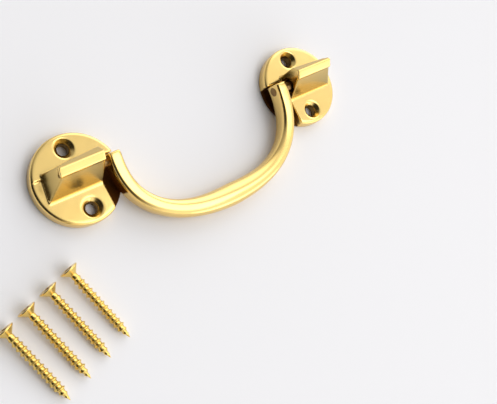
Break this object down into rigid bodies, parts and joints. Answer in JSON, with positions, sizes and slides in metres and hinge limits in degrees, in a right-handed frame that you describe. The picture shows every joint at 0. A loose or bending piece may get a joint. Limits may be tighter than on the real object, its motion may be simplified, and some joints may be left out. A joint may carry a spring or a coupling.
{
  "type": "drop bail lift handle",
  "caption": "Drop bail lift handle: a curved brass bail that turns on steel pins between round backplates with raised hoods and countersunk fixing holes.",
  "frame": {"origin": "centre of the four fixing holes, on the mounting surface that the backplates are screwed to", "axes": "+X from the left backplate to the right one along the pivot axis, +Y up the surface so that the bail hangs towards -Y, +Z out of the surface"},
  "size_m": [0.1873, 0.0908, 0.02],
  "materials": {
    "cast_brass": "cast and polished, lacquered",
    "bail_brass": "cast and buffed bright, lacquered",
    "pin_steel": "turned steel",
    "screw_brass": "turned brass with a cut thread"
  },
  "bodies": {
    "roses": {"left_rose": "cast_brass", "right_rose": "cast_brass"},
    "bail": {"bail_handle": "bail_brass", "left_pivot_pin": "pin_steel", "right_pivot_pin": "pin_steel"},
    "loose_screw_1": {"screw_1": "screw_brass"},
    "loose_screw_2": {"screw_2": "screw_brass"},
    "loose_screw_3": {"screw_3": "screw_brass"},
    "loose_screw_4": {"screw_4": "screw_brass"}
  },
  "joints": [
    {"name": "bail_lift", "type": "hinge", "parent": "roses", "child": "bail", "pos_m": [0, 0.001, 0.0088], "axis": [-1, 0, 0], "range_deg": [0, 100]},
    {"name": "screw_1_off", "type": "slide", "parent": "roses", "child": "loose_screw_1", "axis": [0, 0, 1], "range_m": [0, 0.04]},
    {"name": "screw_2_off", "type": "slide", "parent": "roses", "child": "loose_screw_2", "axis": [0, 0, 1], "range_m": [0, 0.04]},
    {"name": "screw_3_off", "type": "slide", "parent": "roses", "child": "loose_screw_3", "axis": [0, 0, 1], "range_m": [0, 0.04]},
    {"name": "screw_4_off", "type": "slide", "parent": "roses", "child": "loose_screw_4", "axis": [0, 0, 1], "range_m": [0, 0.04]}
  ]
}
